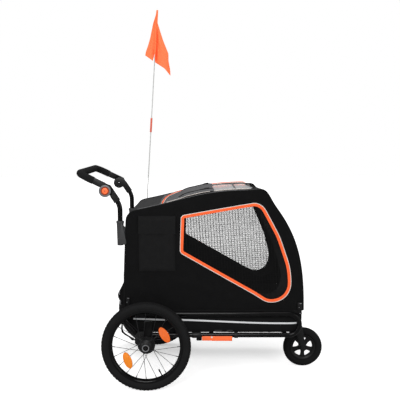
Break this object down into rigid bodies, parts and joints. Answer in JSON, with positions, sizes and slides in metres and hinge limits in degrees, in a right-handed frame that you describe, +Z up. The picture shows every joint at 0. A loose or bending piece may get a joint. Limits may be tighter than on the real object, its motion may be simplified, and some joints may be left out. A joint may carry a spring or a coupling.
{
  "type": "bicycle trailer",
  "caption": "Black fabric bicycle trailer for a dog, set up to be pushed: spoked rear wheels, a small front wheel, mesh side windows, a tilting handlebar and a flag on a pole.",
  "frame": {"origin": "centre of the bounding box in plan, on the floor under the wheels", "axes": "+X towards the front wheel, +Y to the left of someone pushing it, +Z up"},
  "size_m": [1.1547, 0.748, 1.7656],
  "materials": {
    "frame_black": "satin black powder coat",
    "fabric_black": "woven polyester, matt",
    "board_black": "matt",
    "tyre_black": "matt rubber",
    "rubber_black": "matt rubber",
    "plastic_black": "satin moulded plastic",
    "plastic_grey": "satin moulded plastic",
    "plastic_orange": "semi-gloss moulded plastic",
    "silver": "bright, satin",
    "mesh_black": "open knitted net, see-through",
    "vinyl_clear": "clear vinyl, glossy",
    "cover_grey": "woven polyester, matt",
    "pole_white": "white fibreglass rod",
    "flag_orange": "thin bright nylon"
  },
  "bodies": {
    "frame": {"guard_loop_right": "frame_black", "guard_loop_left": "frame_black", "cross_tube_rear": "frame_black", "cross_tube_middle": "frame_black", "cross_tube_front": "frame_black", "floor_panel": "board_black", "lower_tub": "fabric_black", "axle_bracket_right": "frame_black", "axle_bracket_left": "frame_black", "caster_boom": "frame_black", "drawbar_socket": "frame_black", "side_hoop_right": "frame_black", "side_hoop_left": "frame_black", "roof_bar_rear": "frame_black", "roof_bar_front": "frame_black", "handle_socket_right": "plastic_black", "handle_socket_left": "plastic_black", "cabin_side_right": "fabric_black", "cabin_side_left": "fabric_black", "cabin_roof": "fabric_black", "window_mesh_right": "mesh_black", "window_mesh_left": "mesh_black", "roof_window": "vinyl_clear", "roof_cover_folded": "cover_grey", "side_pocket": "fabric_black", "flag_pole_lower": "pole_white", "flag_pole_upper": "pole_white", "flag_pennant": "flag_orange", "brake_unit_right": "plastic_black", "brake_unit_left": "plastic_black", "brake_cable_right": "rubber_black", "brake_cable_left": "rubber_black"},
    "rear_wheel_right": {"wheel_rear_right": "silver", "tyre_rear_right": "tyre_black", "reflector_right_upper": "plastic_orange", "reflector_right_lower": "plastic_orange"},
    "axle_button_right": {"axle_button_right": "plastic_black"},
    "tilt_button_right": {"tilt_button_right": "plastic_orange"},
    "brake_pin_right": {"brake_pin_right": "silver"},
    "rear_wheel_left": {"wheel_rear_left": "silver", "tyre_rear_left": "tyre_black", "reflector_left_upper": "plastic_orange", "reflector_left_lower": "plastic_orange"},
    "axle_button_left": {"axle_button_left": "plastic_black"},
    "tilt_button_left": {"tilt_button_left": "plastic_orange"},
    "brake_pin_left": {"brake_pin_left": "silver"},
    "front_fork": {"caster_fork": "plastic_black"},
    "front_wheel": {"front_wheel_hub": "plastic_black", "front_tyre": "tyre_black"},
    "handle_stems": {"handle_stem_right": "frame_black", "handle_stem_left": "frame_black"},
    "handlebar": {"handlebar_tube": "frame_black", "foam_grip": "rubber_black", "hinge_hub_right": "plastic_grey", "hinge_hub_left": "plastic_grey"},
    "brake_pedal": {"brake_pedal": "plastic_orange"},
    "release_lever": {"release_lever": "plastic_orange"},
    "front_door": {"front_door": "fabric_black"},
    "rear_door": {"rear_door": "fabric_black"},
    "pocket_flap": {"pocket_flap": "fabric_black"}
  },
  "joints": [
    {"name": "rear_wheel_right_spin", "type": "hinge", "parent": "frame", "child": "rear_wheel_right", "pos_m": [-0.2615, -0.34, 0.2], "axis": [0, 1, 0], "continuous": true},
    {"name": "axle_button_right_press", "type": "slide", "parent": "frame", "child": "axle_button_right", "axis": [0, 1, 0], "range_m": [0, 0.0025], "stiffness_N_per_m": 800, "springref_m": -0.0008},
    {"name": "tilt_button_right_press", "type": "slide", "parent": "handlebar", "child": "tilt_button_right", "axis": [0, 1, 0], "range_m": [0, 0.0022], "stiffness_N_per_m": 800, "springref_m": -0.0008},
    {"name": "brake_pin_right_slide", "type": "slide", "parent": "frame", "child": "brake_pin_right", "axis": [0, -1, 0], "range_m": [0, 0.006]},
    {"name": "rear_wheel_left_spin", "type": "hinge", "parent": "frame", "child": "rear_wheel_left", "pos_m": [-0.2615, 0.34, 0.2], "axis": [0, 1, 0], "continuous": true},
    {"name": "axle_button_left_press", "type": "slide", "parent": "frame", "child": "axle_button_left", "axis": [0, -1, 0], "range_m": [0, 0.0025], "stiffness_N_per_m": 800, "springref_m": -0.0008},
    {"name": "tilt_button_left_press", "type": "slide", "parent": "handlebar", "child": "tilt_button_left", "axis": [0, -1, 0], "range_m": [0, 0.0022], "stiffness_N_per_m": 800, "springref_m": -0.0008},
    {"name": "brake_pin_left_slide", "type": "slide", "parent": "frame", "child": "brake_pin_left", "axis": [0, 1, 0], "range_m": [0, 0.006]},
    {"name": "front_fork_swivel", "type": "hinge", "parent": "frame", "child": "front_fork", "pos_m": [0.4535, 0, 0.205], "axis": [0, 0, 1], "continuous": true},
    {"name": "front_wheel_spin", "type": "hinge", "parent": "front_fork", "child": "front_wheel", "pos_m": [0.4825, 0, 0.095], "axis": [0, 1, 0], "continuous": true},
    {"name": "handle_height", "type": "slide", "parent": "frame", "child": "handle_stems", "axis": [0, 0, 1], "range_m": [0, 0.07]},
    {"name": "handle_tilt", "type": "hinge", "parent": "handle_stems", "child": "handlebar", "pos_m": [-0.4435, 0, 0.8865], "axis": [0, 1, 0], "range_deg": [-60, 45]},
    {"name": "brake_pedal_press", "type": "hinge", "parent": "frame", "child": "brake_pedal", "pos_m": [-0.3065, 0, 0.229], "axis": [0, -1, 0], "range_deg": [0, 20]},
    {"name": "release_lever_pull", "type": "hinge", "parent": "frame", "child": "release_lever", "pos_m": [0.0285, -0.2712, 0.2169], "axis": [0, 1, 0], "range_deg": [0, 20], "stiffness_Nm_per_rad": 0.4, "springref_deg": -5.73},
    {"name": "front_door_open", "type": "hinge", "parent": "frame", "child": "front_door", "pos_m": [0.2595, 0, 0.882], "axis": [0, -1, 0], "range_deg": [0, 100]},
    {"name": "rear_door_open", "type": "hinge", "parent": "frame", "child": "rear_door", "pos_m": [-0.35284, 0, 0.735], "axis": [0, 1, 0], "range_deg": [0, 80]},
    {"name": "pocket_flap_lift", "type": "hinge", "parent": "frame", "child": "pocket_flap", "pos_m": [-0.214, -0.2803, 0.775], "axis": [-1, 0, 0], "range_deg": [0, 80]}
  ],
  "couplings": [
    {"joint": "brake_pin_right_slide", "follows": "brake_pedal_press", "m_per_rad": 0.017189},
    {"joint": "brake_pin_left_slide", "follows": "brake_pedal_press", "m_per_rad": 0.017189}
  ]
}
